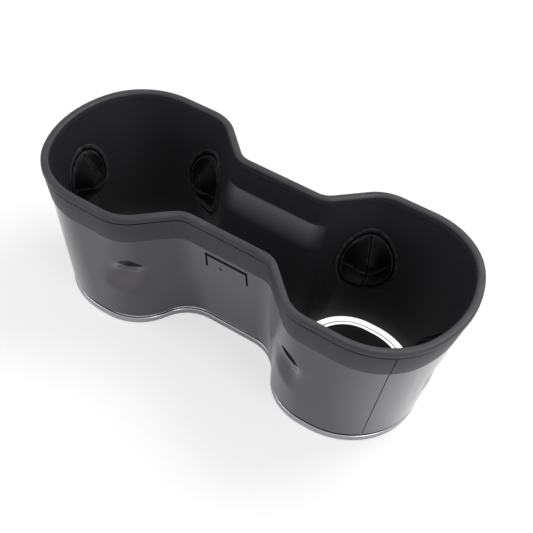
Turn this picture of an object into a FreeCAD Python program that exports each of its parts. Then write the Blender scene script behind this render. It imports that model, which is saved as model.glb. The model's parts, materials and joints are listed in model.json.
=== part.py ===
# Twin car cup holder insert: a dogbone shaped tub with two wells joined by a narrow waist.
# Origin at the middle of the underside, +X along the two wells, +Y to the far side, +Z up.
# Every shape is drawn for the quarter with positive x and y, then mirrored to the whole tub.
import FreeCAD, Part
import math
import os
import Sketcher
from FreeCAD import Vector

SIZES = {
    # Outline of the lip, seen from above
    "rim_length": 215.0,
    "rim_width": 93.4,
    "rim_waist": 50.7,
    "rim_end_radius": 59.8,
    "rim_shoulder_radius": 37.2,
    "rim_flare_radius": 21.0,
    "rim_waist_radius": 17.0,
    "rim_flare_angle": 45.5,
    "rim_waist_flat": 30.4,
    # Outline of the foot, seen from above
    "base_length": 192.4,
    "base_width": 75.2,
    "base_waist": 18.0,
    "base_end_radius": 44.0,
    "base_shoulder_radius": 36.0,
    "base_flare_radius": 27.0,
    "base_waist_radius": 24.0,
    "base_flare_angle": 62.0,
    "base_waist_flat": 20.0,
    # Heights
    "height": 80.0,
    "band_height": 17.3,
    "lip_height": 3.4,
    "seat_height": 4.5,
    # Walls, from the outside to the inside
    "lip_width": 3.8,
    "lip_outer_round": 1.7,
    "lip_inner_round": 1.3,
    "lip_under_round": 0.7,
    "under_lip_step": 0.4,
    "band_inset": 3.0,
    "band_step": 0.4,
    "shell_wall": 1.5,
    "layer_gap": 0.15,
    "liner_wall": 1.5,
    # Lap joint of the band over the shell
    "lap_height": 3.0,
    "lap_tongue": 0.7,
    "lap_gap": 0.15,
    # Gripper domes, their windows, and the dish and vent outside each one
    "gripper_height": 41.0,
    "gripper_side_turn": 28.0,
    "dome_radius": 13.4,
    "dome_rise": 10.5,
    "dome_wall": 2.0,
    "crown_radius": 5.0,
    "crown_rise": 2.1,
    "window_radius": 14.2,
    "window_gap": 0.1,
    "flange_radius": 15.0,
    "flange_thickness": 0.6,
    "slit_width": 0.7,
    "slit_margin": 1.6,
    "dish_radius": 12.0,
    "dish_depth": 1.0,
    "dish_drop": 9.0,
    "vent_length": 10.5,
    "vent_width": 2.8,
    "vent_rise": 5.5,
    "tool_reach": 8.0,
    # Snap tongue on each waist panel of the shell
    "tongue_width": 22.6,
    "tongue_length": 12.0,
    "tongue_drop": 2.6,
    "tongue_slit": 0.7,
    # Vertical seams on the shell and band, placed round each shoulder arc
    "seam_turn": 44.0,
    "seam_angle": 19.0,
    "seam_reach": 14.0,
    "seam_width": 0.45,
    "seam_depth": 0.35,
    # Base tray and floor mats
    "tray_rim_height": 4.0,
    "tray_rim_width": 0.9,
    "tray_rim_round": 0.6,
    "tray_foot_round": 1.4,
    "tray_border": 5.0,
    "tray_floor_level": 2.6,
    "tray_recess": 1.0,
    "tray_foot_width": 4.0,
    "mat_gap": 0.3,
    "mat_thickness": 1.7,
    "mat_corner_round": 6.0,
    "mat_neck_place": 34.0,
}

TOUCH = 1e-6

doc = FreeCAD.newDocument("CupHolder")
sheet = doc.addObject("Spreadsheet::Sheet", "Sizes")
for row, (alias, value) in enumerate(SIZES.items(), start=1):
    sheet.set("A%d" % row, alias)
    sheet.set("B%d" % row, str(value))
    sheet.setAlias("B%d" % row, alias)
doc.recompute()


def cell(alias):
    return "Sizes." + alias


def number(expression):
    return float(sheet.evalExpression(expression.replace("Sizes.", "")))


# Levels, and insets of each wall's faces, as formulas of the sheet's cells
TOP = "Sizes.height"
LIP_BOTTOM = "(Sizes.height - Sizes.lip_height)"
BAND_BOTTOM = "(Sizes.height - Sizes.band_height)"
LAP_TOP = "(Sizes.height - Sizes.band_height + Sizes.lap_height)"
LAP_ROOF = "(Sizes.height - Sizes.band_height + Sizes.lap_height + Sizes.lap_gap)"
SEAT = "Sizes.seat_height"
FLOOR = "Sizes.tray_floor_level"
SHELL_INNER = "Sizes.shell_wall"
LINER_OUTER = "(Sizes.shell_wall + Sizes.layer_gap)"
LINER_INNER = "(Sizes.shell_wall + Sizes.layer_gap + Sizes.liner_wall)"
SKIN_INNER = "(%s + Sizes.flange_thickness)" % LINER_INNER
MAT_POCKET = "(%s + Sizes.tray_border)" % LINER_INNER
LAP_OUTER = "(Sizes.shell_wall - Sizes.lap_tongue)"
REBATE = "(Sizes.shell_wall - Sizes.lap_tongue - Sizes.lap_gap)"


def band_line(level, inset):
    """Inset from the rim line of a face that follows the leaning band, at a level."""
    fall = "(%s - %s) / (%s - %s)" % (LIP_BOTTOM, level, LIP_BOTTOM, BAND_BOTTOM)
    return "(Sizes.band_inset * %s + Sizes.band_step + %s)" % (fall, inset)


def outline(name, shape, inset, level):
    """One quarter of the dogbone outline, drawn inward of the rim or base line by an inset."""
    def size(word):
        return cell(shape + "_" + word)

    texts = {
        "reach": "%s / 2 - (%s)" % (size("length"), inset),
        "side": "%s / 2 - (%s)" % (size("width"), inset),
        "waist": "%s / 2 - (%s)" % (size("waist"), inset),
        "end_radius": "%s - (%s)" % (size("end_radius"), inset),
        "shoulder_radius": "%s - (%s)" % (size("shoulder_radius"), inset),
        "flare_radius": "%s - (%s)" % (size("flare_radius"), inset),
        "waist_radius": "%s + (%s)" % (size("waist_radius"), inset),
        "flat": "%s / 2" % size("waist_flat"),
        "angle": size("flare_angle"),
    }
    reach, side, waist, end_r, shoulder_r, flare_r, waist_r, flat, angle = [
        number(text) for text in texts.values()]
    turn = math.radians(angle)
    lean = math.tan(turn / 2)
    end_x = reach - end_r
    shoulder_x = end_x + math.sqrt((end_r - shoulder_r) ** 2 - (side - shoulder_r) ** 2)
    end_sweep = math.atan2(side - shoulder_r, shoulder_x - end_x)
    waist_corner = flat + waist_r * lean
    flare_corner = waist_corner + (side - waist) / math.tan(turn)
    flare_x = flare_corner + flare_r * lean
    flare_end = Vector(flare_corner - flare_r * lean * math.cos(turn),
                       side - flare_r * lean * math.sin(turn), 0)
    waist_start = Vector(waist_corner + waist_r * lean * math.cos(turn),
                         waist + waist_r * lean * math.sin(turn), 0)

    def arc(x, y, radius, first, last):
        circle = Part.Circle(Vector(x, y, 0), Vector(0, 0, 1), radius)
        return Part.ArcOfCircle(circle, first, last)

    def line(start, end):
        return Part.LineSegment(Vector(*start), Vector(*end))

    sketch = doc.addObject("Sketcher::SketchObject", name)
    end, shoulder, edge, flare, slope, hollow, neck, middle, axis = range(9)
    sketch.addGeometry([
        arc(end_x, 0, end_r, 0, end_sweep),
        arc(shoulder_x, side - shoulder_r, shoulder_r, end_sweep, math.pi / 2),
        line((shoulder_x, side, 0), (flare_x, side, 0)),
        arc(flare_x, side - flare_r, flare_r, math.pi / 2, math.pi / 2 + turn),
        line(tuple(waist_start), tuple(flare_end)),
        arc(flat, waist + waist_r, waist_r, -math.pi / 2, turn - math.pi / 2),
        line((flat, waist, 0), (0, waist, 0)),
        line((0, waist, 0), (0, 0, 0)),
        line((0, 0, 0), (reach, 0, 0)),
    ], False)

    def bind(kind, *places):
        sketch.addConstraint(Sketcher.Constraint(kind, *places))

    def measure(kind, text_name, *places):
        amount = number(texts[text_name])
        if kind == "Angle":
            amount = math.radians(amount)
        index = sketch.addConstraint(Sketcher.Constraint(kind, *places, amount))
        sketch.renameConstraint(index, text_name)
        unit = " * 1 deg" if kind == "Angle" else " * 1 mm"
        sketch.setExpression("Constraints." + text_name, "(%s)%s" % (texts[text_name], unit))

    bind("Tangent", end, 2, shoulder, 1)
    bind("Tangent", shoulder, 2, edge, 1)
    bind("Tangent", edge, 2, flare, 1)
    bind("Tangent", flare, 2, slope, 2)
    bind("Tangent", slope, 1, hollow, 2)
    bind("Tangent", hollow, 1, neck, 1)
    bind("Coincident", neck, 2, middle, 1)
    bind("Coincident", middle, 2, -1, 1)
    bind("Coincident", axis, 1, -1, 1)
    bind("Coincident", axis, 2, end, 1)
    bind("Horizontal", edge)
    bind("Horizontal", neck)
    bind("Horizontal", axis)
    bind("Vertical", middle)
    bind("PointOnObject", end, 3, -1)
    measure("Radius", "end_radius", end)
    measure("Radius", "shoulder_radius", shoulder)
    measure("Radius", "flare_radius", flare)
    measure("Radius", "waist_radius", hollow)
    measure("DistanceX", "reach", -1, 1, axis, 2)
    measure("DistanceY", "side", -1, 1, edge, 1)
    measure("DistanceY", "waist", -1, 1, neck, 1)
    measure("DistanceX", "flat", -1, 1, hollow, 1)
    measure("Angle", "angle", slope)
    sketch.setExpression("Placement.Base.z", level)
    return sketch


def add(kind, name, **values):
    """A document object whose text values are formulas and whose other values are set."""
    thing = doc.addObject(kind, name)
    for prop, value in values.items():
        if isinstance(value, str):
            thing.setExpression(prop, value)
        else:
            setattr(thing, prop, value)
    return thing


def loft(name, lower, upper):
    return add("Part::Loft", name, Sections=[lower, upper], Solid=True, Ruled=True)


def upright(name, shape, inset, level, rise):
    """The quarter outline raised straight up from a level."""
    sketch = outline(name + "_line", shape, inset, level)
    return add("Part::Extrusion", name, Base=sketch, Dir=Vector(0, 0, 1), LengthFwd=rise, Solid=True)


def cut(name, base, tool):
    return add("Part::Cut", name, Base=base, Tool=tool)


def fuse(name, *shapes):
    return add("Part::MultiFuse", name, Shapes=list(shapes), Refine=True)


def common(name, first, second):
    return add("Part::Common", name, Base=first, Tool=second)


def mirrored(name, source, normal):
    return add("Part::Mirroring", name, Source=source, Normal=normal)


ACROSS = Vector(0, 1, 0)
ALONG = Vector(1, 0, 0)


def whole(name, quarter):
    """The quarter mirrored to the near side, then to the left end."""
    near = mirrored(name + "_near", quarter, ACROSS)
    half = fuse(name + "_half", quarter, near)
    left = mirrored(name + "_left", half, ALONG)
    return fuse(name, half, left)


def rounded(name, base, radius_cells, chosen):
    """Fillets on the edges that a rule picks, each with a radius from the sheet."""
    doc.recompute()
    edges = []
    for index, edge in enumerate(base.Shape.Edges, start=1):
        middle = edge.CenterOfMass
        if len(edge.Vertexes) == 2:
            ends = [vertex.Point for vertex in edge.Vertexes]
            word = chosen(ends, middle)
            if word:
                radius = number(cell(radius_cells[word]))
                edges.append((index, radius, radius))
    return add("Part::Fillet", name, Base=base, Edges=edges)


def level_edge(ends, level):
    """Whether an edge lies at one level, clear of the two mirror planes."""
    flat = all(abs(end.z - level) < TOUCH for end in ends)
    on_plane = all(end.x < TOUCH for end in ends) or all(end.y < TOUCH for end in ends)
    return flat and not on_plane


# Rim band: the rounded lip with the leaning band under it, one matte moulding
def rim_band():
    lip_outer = upright("LipOuter", "rim", "0", LIP_BOTTOM, cell("lip_height"))
    lip_inner = upright("LipInner", "rim", cell("lip_width"), LIP_BOTTOM, cell("lip_height"))
    lip = cut("LipRing", lip_outer, lip_inner)
    top = number(TOP)
    bottom = number(LIP_BOTTOM)
    inner_reach = number("Sizes.rim_length / 2 - Sizes.lip_width") + TOUCH

    def lip_edges(ends, middle):
        inside = middle.x < inner_reach and is_inner(ends)
        if level_edge(ends, top):
            return "inner" if inside else "outer"
        if level_edge(ends, bottom) and not inside:
            return "under"
        return None

    def is_inner(ends):
        shape = lip_inner.Shape
        return all(shape.distToShape(Part.Vertex(end))[0] < TOUCH for end in ends)

    radii = {"inner": "lip_inner_round", "outer": "lip_outer_round", "under": "lip_under_round"}
    round_lip = rounded("RoundLip", lip, radii, lip_edges)

    band_outer = loft("BandOuter",
                      outline("BandOuterLow", "rim", "Sizes.band_inset", BAND_BOTTOM),
                      outline("BandOuterHigh", "rim", "Sizes.under_lip_step", LIP_BOTTOM))
    band_inner = loft("BandInner",
                      outline("BandInnerLow", "rim", band_line(BAND_BOTTOM, SHELL_INNER), BAND_BOTTOM),
                      outline("BandInnerHigh", "rim", band_line(LIP_BOTTOM, SHELL_INNER), LIP_BOTTOM))
    rebate = loft("BandRebate",
                  outline("RebateLow", "rim", band_line(BAND_BOTTOM, REBATE), BAND_BOTTOM),
                  outline("RebateHigh", "rim", band_line(LAP_ROOF, REBATE), LAP_ROOF))
    band = cut("BandRing", cut("BandWall", band_outer, band_inner), rebate)
    return fuse("BandQuarter", round_lip, band)


# Wall lines shared by the shell, the liner and the grippers
shell_outside = loft("ShellOutside",
                     outline("ShellFoot", "base", "0", SEAT),
                     outline("ShellHead", "rim", band_line(BAND_BOTTOM, "0"), BAND_BOTTOM))
shell_inside = loft("ShellInside",
                    outline("ShellInnerFoot", "base", SHELL_INNER, SEAT),
                    outline("ShellInnerHead", "rim", band_line(BAND_BOTTOM, SHELL_INNER), BAND_BOTTOM))
liner_outside = loft("LinerOutside",
                     outline("LinerFoot", "base", LINER_OUTER, SEAT),
                     outline("LinerBreak", "rim", band_line(BAND_BOTTOM, LINER_OUTER), BAND_BOTTOM))
liner_inside = loft("LinerInside",
                    outline("LinerInnerFoot", "base", LINER_INNER, SEAT),
                    outline("LinerInnerBreak", "rim", band_line(BAND_BOTTOM, LINER_INNER), BAND_BOTTOM))
skin_inside = loft("SkinInside",
                   outline("SkinFoot", "base", SKIN_INNER, SEAT),
                   outline("SkinBreak", "rim", band_line(BAND_BOTTOM, SKIN_INNER), BAND_BOTTOM))
liner_layer = cut("LinerLayer", liner_outside, liner_inside)
skin_layer = cut("SkinLayer", liner_inside, skin_inside)

# Gripper seats: a frame on the liner's inner face, its own +Z pointing into the well.
# The side seat lies on the flare arc between a well and the waist, the end seat on the end arc.
FALL = "((%s - Sizes.gripper_height) / (%s - %s))" % (BAND_BOTTOM, BAND_BOTTOM, SEAT)
HEAD = band_line(BAND_BOTTOM, "0")
TURN = "(Sizes.gripper_side_turn * 1 deg)"


def between(head, foot):
    """A length that runs straight from its value at the band to its value at the foot."""
    return "(%s * (1 - %s) + %s * %s)" % (head, FALL, foot, FALL)


def leaning(head, foot):
    """How far the wall leans, from its reach at the band and its reach at the foot."""
    return "(atan((%s - %s) / (%s - %s)) - 90 deg)" % (head, foot, BAND_BOTTOM, SEAT)


def flare_x(shape):
    half_turn = "tan(Sizes.{0}_flare_angle * 0.5 deg)".format(shape)
    run = "(Sizes.{0}_width - Sizes.{0}_waist) / (2 * tan(Sizes.{0}_flare_angle * 1 deg))"
    arcs = "(Sizes.{0}_waist_radius + Sizes.{0}_flare_radius) * %s" % half_turn
    return ("(Sizes.{0}_waist_flat / 2 + " + arcs + " + " + run + ")").format(shape)


def flare_y(shape):
    return "(Sizes.{0}_width / 2 - Sizes.{0}_flare_radius)".format(shape)


def flare_reach(shape, inset):
    """Distance of the flare arc from the origin, measured along the gripper's own direction."""
    return "(%s * cos(%s) - %s * sin(%s) + Sizes.%s_flare_radius - %s)" % (
        flare_y(shape), TURN, flare_x(shape), TURN, shape, inset)


SIDE_RADIUS = "(%s - %s)" % (
    between("(Sizes.rim_flare_radius - %s)" % HEAD, "Sizes.base_flare_radius"), LINER_INNER)
SEATS = {
    "side": ("vector(%s - %s * sin(%s); %s + %s * cos(%s); Sizes.gripper_height)" % (
                 between(flare_x("rim"), flare_x("base")), SIDE_RADIUS, TURN,
                 between(flare_y("rim"), flare_y("base")), SIDE_RADIUS, TURN),
             "rotation(vector(0; 0; 1); 180 deg + %s) * rotation(vector(1; 0; 0); %s)" % (
                 TURN, leaning(flare_reach("rim", HEAD), flare_reach("base", "0")))),
    "end": ("vector(%s - %s; 0; Sizes.gripper_height)" % (
                between("(Sizes.rim_length / 2 - %s)" % HEAD, "(Sizes.base_length / 2)"), LINER_INNER),
            "rotation(vector(0; 0; 1); 90 deg) * rotation(vector(1; 0; 0); %s)" % (
                leaning("(Sizes.rim_length / 2 - %s)" % HEAD, "Sizes.base_length / 2"))),
}
for seat, frame in SEATS.items():
    doc.addObject("App::Placement", seat.title() + "Seat").setExpression(
        "Placement", "placement(%s; %s)" % frame)


def seated(thing, seat, x="0", y="0", z="0"):
    """Set a round or square tool in a gripper seat's frame."""
    step = "placement(vector(%s; %s; %s); rotation(vector(0; 0; 1); 0))" % (x, y, z)
    thing.setExpression("Placement", "%sSeat.Placement * %s" % (seat.title(), step))
    return thing


def disc(name, seat, radius, low, high):
    tool = add("Part::Cylinder", name, Radius=radius, Height="(%s) - (%s)" % (high, low))
    return seated(tool, seat, z=low)


REACH = "Sizes.tool_reach"


def blunt_cone(name, seat, drop):
    """The dome's form: a cone with a round crown, on a round root that starts a drop below the seat."""
    crown_ball = "((Sizes.crown_radius ^ 2 + Sizes.crown_rise ^ 2) / (2 * Sizes.crown_rise))"
    flank = add("Part::Cone", name + "Flank", Radius1="Sizes.dome_radius", Radius2="Sizes.crown_radius",
                Height="Sizes.dome_rise - Sizes.crown_rise")
    crown = add("Part::Sphere", name + "Crown", Radius=crown_ball)
    return fuse(name,
                seated(flank, seat, z="-(%s)" % drop),
                seated(crown, seat, z="Sizes.dome_rise - %s - (%s)" % (crown_ball, drop)),
                disc(name + "Root", seat, "Sizes.dome_radius", "-(%s) - (%s)" % (REACH, drop), "-(%s)" % drop))


# Gripper: a soft hollow dome with a cross slit, its neck in the liner's window, its flange proud
def gripper(seat):
    tag = seat.title()
    neck = common(tag + "Neck",
                  disc(tag + "NeckDisc", seat, "Sizes.window_radius - Sizes.window_gap", "-" + REACH, REACH),
                  liner_layer)
    flange = common(tag + "Flange",
                    disc(tag + "FlangeDisc", seat, "Sizes.flange_radius", "-" + REACH, REACH),
                    skin_layer)
    held = common(tag + "HeldDome", blunt_cone(tag + "Dome", seat, "0"), liner_outside)
    hollow = blunt_cone(tag + "Hollow", seat, "Sizes.dome_wall")
    slit = "2 * (Sizes.dome_radius - Sizes.slit_margin)"
    half_slit = "-(Sizes.dome_radius - Sizes.slit_margin)"
    upright_slit = seated(add("Part::Box", tag + "UprightSlit", Length="Sizes.slit_width", Width=slit,
                              Height="Sizes.dome_rise"),
                          seat, x="-Sizes.slit_width / 2", y=half_slit, z="Sizes.slit_margin")
    level_slit = seated(add("Part::Box", tag + "LevelSlit", Length=slit, Width="Sizes.slit_width",
                            Height="Sizes.dome_rise"),
                        seat, x=half_slit, y="-Sizes.slit_width / 2", z="Sizes.slit_margin")
    solid = fuse(tag + "Solid", neck, flange, held)
    return cut(tag + "Gripper", solid, fuse(tag + "Opened", hollow, upright_slit, level_slit))


# Outer shell: the glossy lower wall with a vent behind each gripper and a shallow dish under each vent
def outer_shell():
    wall = cut("ShellWall", shell_outside, shell_inside)
    tongue_outer = loft("LapOuter",
                        outline("LapOuterLow", "rim", band_line(BAND_BOTTOM, LAP_OUTER), BAND_BOTTOM),
                        outline("LapOuterHigh", "rim", band_line(LAP_TOP, LAP_OUTER), LAP_TOP))
    tongue_inner = loft("LapInner",
                        outline("LapInnerLow", "rim", band_line(BAND_BOTTOM, SHELL_INNER), BAND_BOTTOM),
                        outline("LapInnerHigh", "rim", band_line(LAP_TOP, SHELL_INNER), LAP_TOP))
    parts = [wall, cut("LapTongue", tongue_outer, tongue_inner)]
    tools = []
    ball_radius = "((Sizes.dish_radius ^ 2 + Sizes.dish_depth ^ 2) / (2 * Sizes.dish_depth))"
    ball_place = "-(%s + %s - Sizes.dish_depth)" % (LINER_INNER, ball_radius)
    lens_radius = "((Sizes.vent_length ^ 2 + Sizes.vent_width ^ 2) / (4 * Sizes.vent_width))"
    for seat in SEATS:
        tag = seat.title()
        dish = add("Part::Sphere", tag + "Dish", Radius=ball_radius)
        tools.append(seated(dish, seat, y="Sizes.dish_drop", z=ball_place))
        arcs = []
        for sign in ("-", "+"):
            middle = "-Sizes.vent_rise %s (%s - Sizes.vent_width / 2)" % (sign, lens_radius)
            arc = add("Part::Cylinder", tag + "Vent" + ("Low" if sign == "+" else "High"),
                      Radius=lens_radius, Height=REACH)
            arcs.append(seated(arc, seat, y=middle, z="-" + REACH))
        tools.append(common(tag + "Vent", *arcs))
    tongue_top = "(%s - Sizes.tongue_drop)" % BAND_BOTTOM
    top_slit = add("Part::Box", "TongueTopSlit", Length="Sizes.tongue_width / 2",
                   Width="Sizes.rim_waist / 2", Height="Sizes.tongue_slit")
    top_slit.setExpression("Placement.Base.z", "%s - Sizes.tongue_slit" % tongue_top)
    side_slit = add("Part::Box", "TongueSideSlit", Length="Sizes.tongue_slit",
                    Width="Sizes.rim_waist / 2", Height="Sizes.tongue_length")
    side_slit.setExpression("Placement.Base.x", "Sizes.tongue_width / 2 - Sizes.tongue_slit")
    side_slit.setExpression("Placement.Base.z", "%s - Sizes.tongue_length" % tongue_top)
    tools += [top_slit, side_slit]
    return cut("ShellQuarter", fuse("ShellSolid", *parts), fuse("ShellTools", *tools))


# Inner liner: the dark wall of both wells, standing on the tray and reaching up under the lip
def inner_liner():
    upper_outside = loft("UpperOutside",
                         outline("UpperOuterLow", "rim", band_line(BAND_BOTTOM, LINER_OUTER), BAND_BOTTOM),
                         outline("UpperOuterHigh", "rim", band_line(LIP_BOTTOM, LINER_OUTER), LIP_BOTTOM))
    upper_inside = loft("UpperInside",
                        outline("UpperInnerLow", "rim", band_line(BAND_BOTTOM, LINER_INNER), BAND_BOTTOM),
                        outline("UpperInnerHigh", "rim", band_line(LIP_BOTTOM, LINER_INNER), LIP_BOTTOM))
    upper = cut("UpperLayer", upper_outside, upper_inside)
    windows = fuse("Windows", *[
        disc(seat.title() + "Window", seat, "Sizes.window_radius", "-" + REACH, REACH) for seat in SEATS])
    return fuse("LinerQuarter", cut("LinerLower", liner_layer, windows), upper)


# Base tray: the bright foot, with a rounded rim outside and a border round each floor mat
def well_part(name, inset, level, rise, neck):
    """A quarter slab of the floor, kept to its own well, with its neck corner rounded."""
    slab = upright(name + "Slab", "base", inset, level, rise)
    keep = add("Part::Box", name + "Keep", Length="Sizes.base_length", Width="Sizes.base_width",
               Height="Sizes.height")
    keep.setExpression("Placement.Base.x", neck)
    block = common(name + "Block", slab, keep)
    neck_x = number(neck)

    def corner(ends, middle):
        standing = abs(ends[0].z - ends[1].z) > TOUCH
        at_neck = abs(middle.x - neck_x) < TOUCH and middle.y > TOUCH
        return "corner" if standing and at_neck else None

    return rounded(name + "Rounded", block, {"corner": "mat_corner_round"}, corner)


def base_tray():
    foot = upright("TrayFoot", "base", "0", "0", "Sizes.tray_rim_height")
    low = 0.0
    high = number("Sizes.tray_rim_height")

    def foot_edges(ends, middle):
        if level_edge(ends, low):
            return "foot"
        return "rim" if level_edge(ends, high) else None

    radii = {"foot": "tray_foot_round", "rim": "tray_rim_round"}
    round_foot = rounded("RoundFoot", foot, radii, foot_edges)
    seat = upright("TraySeat", "base", "Sizes.tray_rim_width", "0", SEAT)
    recess = upright("TrayRecess", "base", "Sizes.tray_foot_width", "0", "Sizes.tray_recess")
    pocket = well_part("MatPocket", MAT_POCKET, FLOOR, "%s - %s" % (SEAT, FLOOR), "Sizes.mat_neck_place")
    return cut("TrayQuarter", fuse("TraySolid", round_foot, seat), fuse("TrayTools", recess, pocket))


# Vertical seams: a shallow groove down each shoulder, through the shell's face and the band's
def seam_groove():
    core = fuse("SeamCore",
                loft("SeamCoreLower",
                     outline("SeamFoot", "base", "Sizes.seam_depth", SEAT),
                     outline("SeamHead", "rim", band_line(BAND_BOTTOM, "Sizes.seam_depth"), BAND_BOTTOM)),
                loft("SeamCoreUpper",
                     outline("SeamLow", "rim", "Sizes.band_inset + Sizes.seam_depth", BAND_BOTTOM),
                     outline("SeamHigh", "rim", "Sizes.under_lip_step + Sizes.seam_depth", LIP_BOTTOM)))
    blade = add("Part::Box", "SeamBlade", Length="2 * Sizes.seam_reach", Width="Sizes.seam_width",
                Height="%s - %s" % (LIP_BOTTOM, SEAT))
    side = "(Sizes.rim_width / 2 - Sizes.rim_shoulder_radius)"
    along = "(Sizes.rim_length / 2 - Sizes.rim_end_radius + " \
            "sqrt((Sizes.rim_end_radius - Sizes.rim_shoulder_radius) ^ 2 - %s ^ 2))" % side
    radius = "(Sizes.rim_shoulder_radius - Sizes.band_inset)"
    arc_turn = "(Sizes.seam_turn * 1 deg)"
    place = "vector(%s + %s * cos(%s); %s + %s * sin(%s); %s)" % (
        along, radius, arc_turn, side, radius, arc_turn, SEAT)
    turn = "rotation(vector(0; 0; 1); Sizes.seam_angle * 1 deg)"
    blade.setExpression("Placement", "placement(%s; %s) * placement(vector(-Sizes.seam_reach; "
                        "-Sizes.seam_width / 2; 0); rotation(vector(0; 0; 1); 0))" % (place, turn))
    return cut("SeamGroove", blade, core)


seam = seam_groove()
quarters = {
    "rim_band": cut("BandGrooved", rim_band(), seam),
    "outer_shell": cut("ShellGrooved", outer_shell(), seam),
    "inner_liner": inner_liner(),
    "base_tray": base_tray(),
}
nodes = {node: whole(node.title().replace("_", ""), quarter) for node, quarter in quarters.items()}

mat_quarter = well_part("FloorMat", "%s + Sizes.mat_gap" % MAT_POCKET, FLOOR, "Sizes.mat_thickness",
                        "Sizes.mat_neck_place + Sizes.mat_gap")
mat = fuse("MatRight", mat_quarter, mirrored("MatNear", mat_quarter, ACROSS))
nodes["floor_mat_right"] = mat
nodes["floor_mat_left"] = mirrored("MatLeft", mat, ALONG)

side_gripper = gripper("side")
near_gripper = mirrored("SideGripperNear", side_gripper, ACROSS)
nodes["gripper_right_far"] = side_gripper
nodes["gripper_right_near"] = near_gripper
nodes["gripper_left_far"] = mirrored("SideGripperLeft", side_gripper, ALONG)
nodes["gripper_left_near"] = mirrored("SideGripperLeftNear", near_gripper, ALONG)
end_half = gripper("end")
end_gripper = fuse("EndGripperWhole", end_half, mirrored("EndGripperNear", end_half, ACROSS))
nodes["gripper_right_end"] = end_gripper
nodes["gripper_left_end"] = mirrored("EndGripperLeft", end_gripper, ALONG)

for node, piece in nodes.items():
    piece.Label = node
doc.recompute()

for thing in doc.Objects:
    if "Invalid" in thing.State or "Error" in thing.State:
        raise RuntimeError("%s did not build: %s" % (thing.Name, thing.State))
for node, piece in nodes.items():
    shape = piece.Shape
    if shape.isNull() or not shape.isValid() or len(shape.Solids) != 1:
        raise RuntimeError("%s is not one sound solid" % node)

os.makedirs("parts", exist_ok=True)
for node, piece in nodes.items():
    piece.Shape.exportStep("parts/%s.step" % node)
    box = piece.Shape.optimalBoundingBox(False)
    print("%-20s %9.1f mm3  x %.1f..%.1f  y %.1f..%.1f  z %.1f..%.1f" % (
        node, piece.Shape.Volume, box.XMin, box.XMax, box.YMin, box.YMax, box.ZMin, box.ZMax))
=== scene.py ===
# %% [markdown]
# A twin car cup holder insert, dressed for its picture.
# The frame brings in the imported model: every node at its real place, in metres.
# Nothing below moves it. Each node gets a finer skin in the same place, which stands for it.

# %% Load the frame
import json
import math

import bmesh
import bpy
from mathutils import Matrix, Vector
from mathutils.bvhtree import BVHTree


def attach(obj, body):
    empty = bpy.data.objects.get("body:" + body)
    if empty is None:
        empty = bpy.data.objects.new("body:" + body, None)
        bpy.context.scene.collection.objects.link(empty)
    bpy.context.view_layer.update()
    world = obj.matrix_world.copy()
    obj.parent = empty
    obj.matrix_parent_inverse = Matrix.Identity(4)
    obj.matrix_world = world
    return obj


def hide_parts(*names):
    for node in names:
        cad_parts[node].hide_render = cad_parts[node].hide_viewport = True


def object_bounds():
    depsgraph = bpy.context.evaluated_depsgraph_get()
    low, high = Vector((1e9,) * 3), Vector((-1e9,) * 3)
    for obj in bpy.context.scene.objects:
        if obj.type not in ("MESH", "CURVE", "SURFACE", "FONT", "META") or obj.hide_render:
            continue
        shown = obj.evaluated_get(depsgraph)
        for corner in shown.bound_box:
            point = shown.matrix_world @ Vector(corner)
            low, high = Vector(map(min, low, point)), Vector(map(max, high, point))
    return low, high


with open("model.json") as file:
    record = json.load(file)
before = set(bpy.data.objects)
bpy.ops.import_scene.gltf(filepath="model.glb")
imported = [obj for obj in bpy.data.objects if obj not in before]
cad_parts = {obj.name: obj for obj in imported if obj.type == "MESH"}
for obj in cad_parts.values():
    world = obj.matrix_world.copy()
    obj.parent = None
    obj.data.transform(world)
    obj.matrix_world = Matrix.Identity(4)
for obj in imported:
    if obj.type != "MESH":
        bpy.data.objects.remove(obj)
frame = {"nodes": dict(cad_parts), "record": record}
cad_low, cad_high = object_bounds()
MM = 0.001
print("CAD box in mm:", [round(size / MM, 1) for size in cad_high - cad_low])

# %% [markdown]
# The camera stands where the photographer stood: above, in front and a little to the right.
# It could be placed by eye, but a small error in its angle would show along the whole lip.
# So its numbers come from lining up the lip, the band and the foot with the picture.
# The picture is square and cropped to the left of the lens axis, and a small shift holds that crop.

# %% Place the camera
IMAGE_SIDE = 533
FOCAL_PIXELS = 980.4
LENS_CENTRE_X, LENS_CENTRE_Y = 215.8, 267.9
SENSOR_WIDTH = 36
CAMERA_DISTANCE = 412.0 * MM
CAMERA_AZIMUTH = math.radians(29.76)
CAMERA_ELEVATION = math.radians(46.33)
CAMERA_ROLL = math.radians(5.31)
CAMERA_TARGET = Vector((7.6 * MM, -43.2 * MM, cad_high[2]))
NEAREST_SEEN = 10 * MM


def camera_axes(azimuth, elevation, roll):
    """Right, up and backward directions of a camera that looks down at the target."""
    back = Vector((math.sin(azimuth) * math.cos(elevation),
                   -math.cos(azimuth) * math.cos(elevation), math.sin(elevation)))
    right = Vector((math.cos(azimuth), math.sin(azimuth), 0))
    up = back.cross(right)
    turned_right = right * math.cos(roll) + up * math.sin(roll)
    turned_up = up * math.cos(roll) - right * math.sin(roll)
    return turned_right, turned_up, back


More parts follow.
